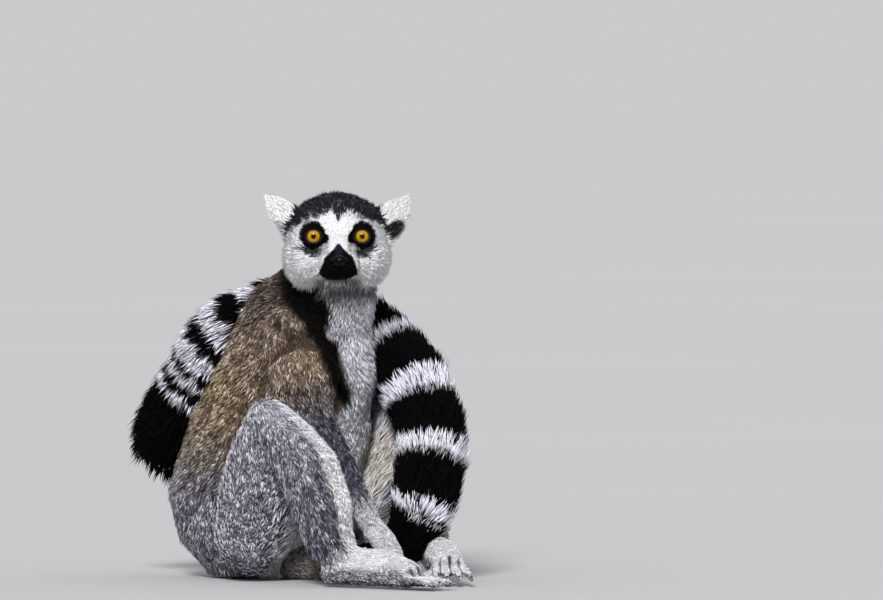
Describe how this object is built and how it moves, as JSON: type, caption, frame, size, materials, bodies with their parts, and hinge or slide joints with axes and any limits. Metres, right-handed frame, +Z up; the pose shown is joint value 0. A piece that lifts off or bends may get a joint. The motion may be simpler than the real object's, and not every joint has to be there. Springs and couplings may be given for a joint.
{
  "type": "ring-tailed lemur model",
  "caption": "Still, life-size model of a sitting ring-tailed lemur with drawn-up knees and its banded tail laid over one shoulder and down its back.",
  "frame": {"origin": "middle of the footprint, on the floor that the rump, the feet, one hand and the tail rest on", "axes": "+Z up; the trunk faces -Y and the animal's left is +X; the head is turned 45 degrees to its right"},
  "size_m": [0.1874, 0.345, 0.2856],
  "materials": {
    "fur_white": "soft white fur",
    "fur_grey": "speckled grey fur",
    "fur_brown": "rufous brown-grey fur",
    "fur_ringed": "long fur in black and white rings",
    "nose_leather": "moist black skin",
    "eye": "glossy amber eye"
  },
  "bodies": {
    "root": {"eye_right": "eye", "eye_left": "eye", "nose": "nose_leather", "head": "fur_white", "lower_jaw": "fur_white", "ear_right": "fur_white", "ear_left": "fur_white", "foot_right": "fur_white", "foot_left": "fur_white", "shank_right": "fur_grey", "shank_left": "fur_grey", "thigh_right": "fur_grey", "thigh_left": "fur_grey", "hand_right": "fur_grey", "hand_left": "fur_grey", "forearm_right": "fur_grey", "forearm_left": "fur_grey", "upper_arm_right": "fur_brown", "upper_arm_left": "fur_brown", "neck": "fur_white", "trunk": "fur_brown", "tail_1_base": "fur_ringed", "tail_2_rise": "fur_ringed", "tail_3_front": "fur_ringed", "tail_4_nape": "fur_ringed", "tail_5_back": "fur_ringed", "tail_6_tip": "fur_ringed"}
  },
  "joints": []
}
